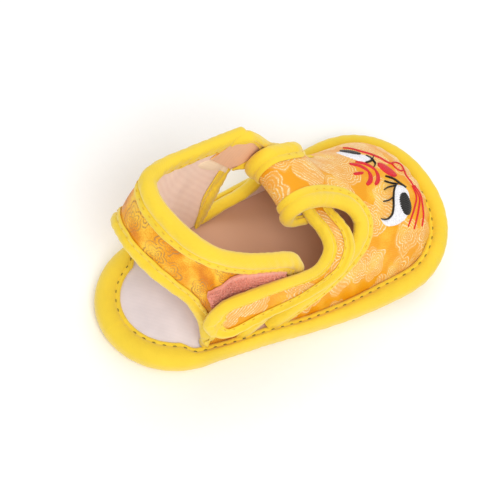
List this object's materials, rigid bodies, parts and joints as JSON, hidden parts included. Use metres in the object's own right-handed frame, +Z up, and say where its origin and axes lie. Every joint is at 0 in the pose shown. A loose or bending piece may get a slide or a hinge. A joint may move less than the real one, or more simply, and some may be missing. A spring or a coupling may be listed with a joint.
{
  "type": "silk shoe",
  "caption": "Child's silk brocade sandal with a closed toe, an instep tab with a strap through it, a heel band, bound edges and a soft padded sole.",
  "frame": {"origin": "centre of the bounding box in plan, at the sole's underside", "axes": "+X towards the toe, +Z up from the floor, -Y towards the side where the strap fastens"},
  "size_m": [0.125, 0.062, 0.06],
  "materials": {
    "binding_tape": "matt cotton tape",
    "silk_brocade": "satin silk brocade",
    "sole_cloth": "quilted cotton",
    "insole_cotton": "matt cotton",
    "fastener_pile": "napped hook-and-loop pile"
  },
  "bodies": {
    "root": {"sole": "sole_cloth", "insole": "insole_cotton", "sole_binding": "binding_tape", "upper_vamp": "silk_brocade", "vamp_binding_near": "binding_tape", "vamp_binding_far": "binding_tape", "upper_back": "silk_brocade", "collar_binding": "binding_tape", "heel_binding": "binding_tape", "strap": "silk_brocade", "strap_binding": "binding_tape", "fastener_patch": "fastener_pile"}
  },
  "joints": []
}
